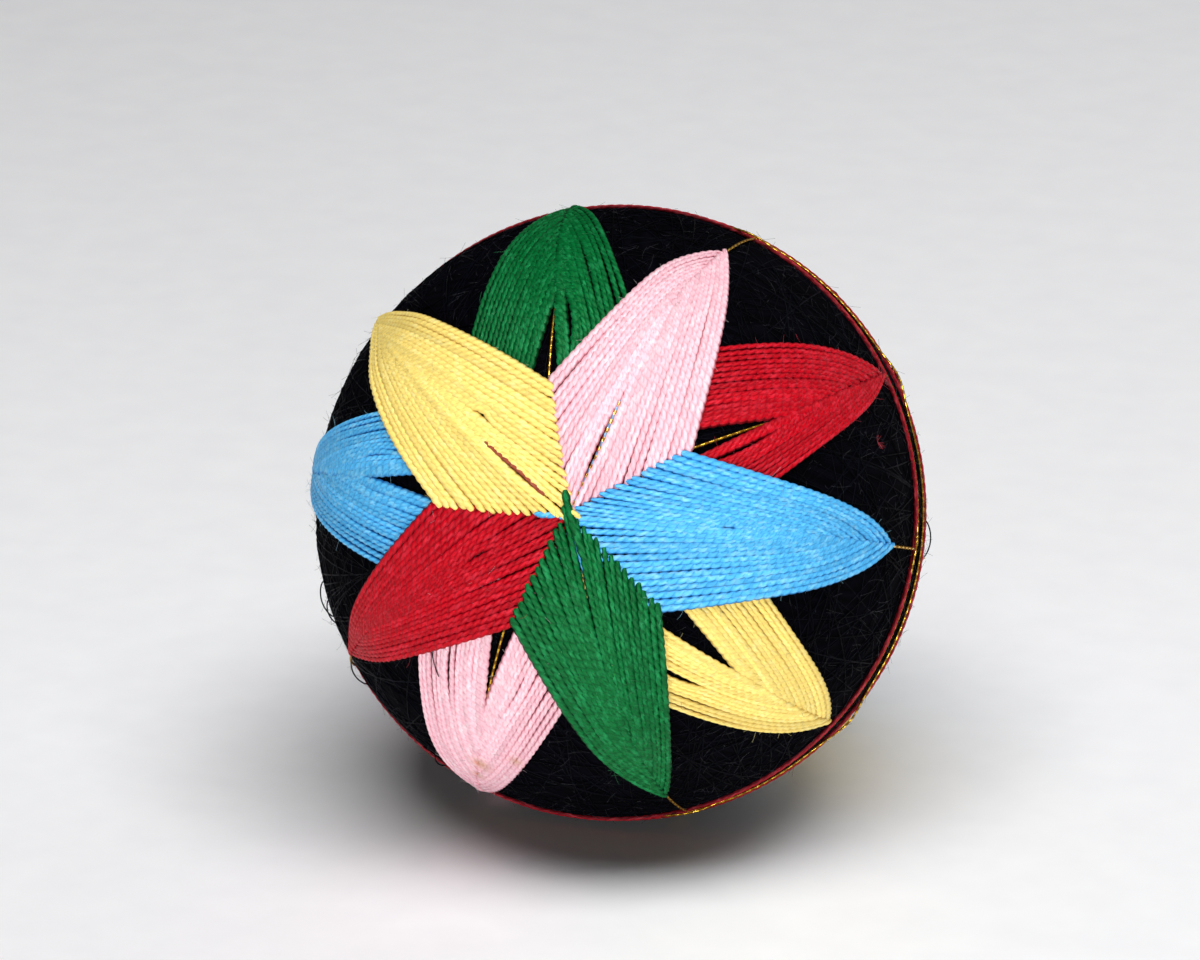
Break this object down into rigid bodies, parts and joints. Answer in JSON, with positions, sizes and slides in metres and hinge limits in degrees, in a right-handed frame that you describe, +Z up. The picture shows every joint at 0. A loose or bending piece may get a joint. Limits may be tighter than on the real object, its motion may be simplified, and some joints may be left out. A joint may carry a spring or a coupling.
{
  "type": "temari ball",
  "caption": "Thread-wound temari ball with a layered flower of coloured thread petals on each face and a narrow wrapped band around the middle.",
  "frame": {"origin": "middle of the small flat spot that the ball rests on", "axes": "+Z up out of the resting spot; the front flower's pole faces -Y and is tilted up by 23.3 degrees; +X to the right seen from the front"},
  "size_m": [0.0768, 0.0786, 0.0757],
  "materials": {
    "black_winding": "fine black polyester sewing thread wound in every direction, soft gloss with fuzz",
    "pink_thread": "pale pink mercerised pearl cotton, two plies, silky gloss",
    "blue_thread": "sky blue mercerised pearl cotton, two plies, silky gloss",
    "green_thread": "emerald green mercerised pearl cotton, two plies, silky gloss",
    "red_thread": "scarlet mercerised pearl cotton, two plies, silky gloss",
    "yellow_thread": "pale yellow mercerised pearl cotton, two plies, silky gloss",
    "gold_thread": "fine metallised gold thread, glittering",
    "band_red_thread": "deep red mercerised pearl cotton, silky gloss"
  },
  "bodies": {
    "root": {"wound_ball": "black_winding", "front_upper_pink": "pink_thread", "front_upper_blue": "blue_thread", "front_upper_green": "green_thread", "front_upper_red": "red_thread", "front_upper_yellow": "yellow_thread", "front_lower_pink": "pink_thread", "front_lower_blue": "blue_thread", "front_lower_green": "green_thread", "front_lower_red": "red_thread", "front_lower_yellow": "yellow_thread", "back_upper_pink": "pink_thread", "back_upper_blue": "blue_thread", "back_upper_green": "green_thread", "back_upper_red": "red_thread", "back_upper_yellow": "yellow_thread", "back_lower_pink": "pink_thread", "back_lower_blue": "blue_thread", "back_lower_green": "green_thread", "back_lower_red": "red_thread", "back_lower_yellow": "yellow_thread", "band_red_front": "band_red_thread", "band_gold_front": "gold_thread", "band_gold_back": "gold_thread", "band_red_back": "band_red_thread"}
  },
  "joints": []
}
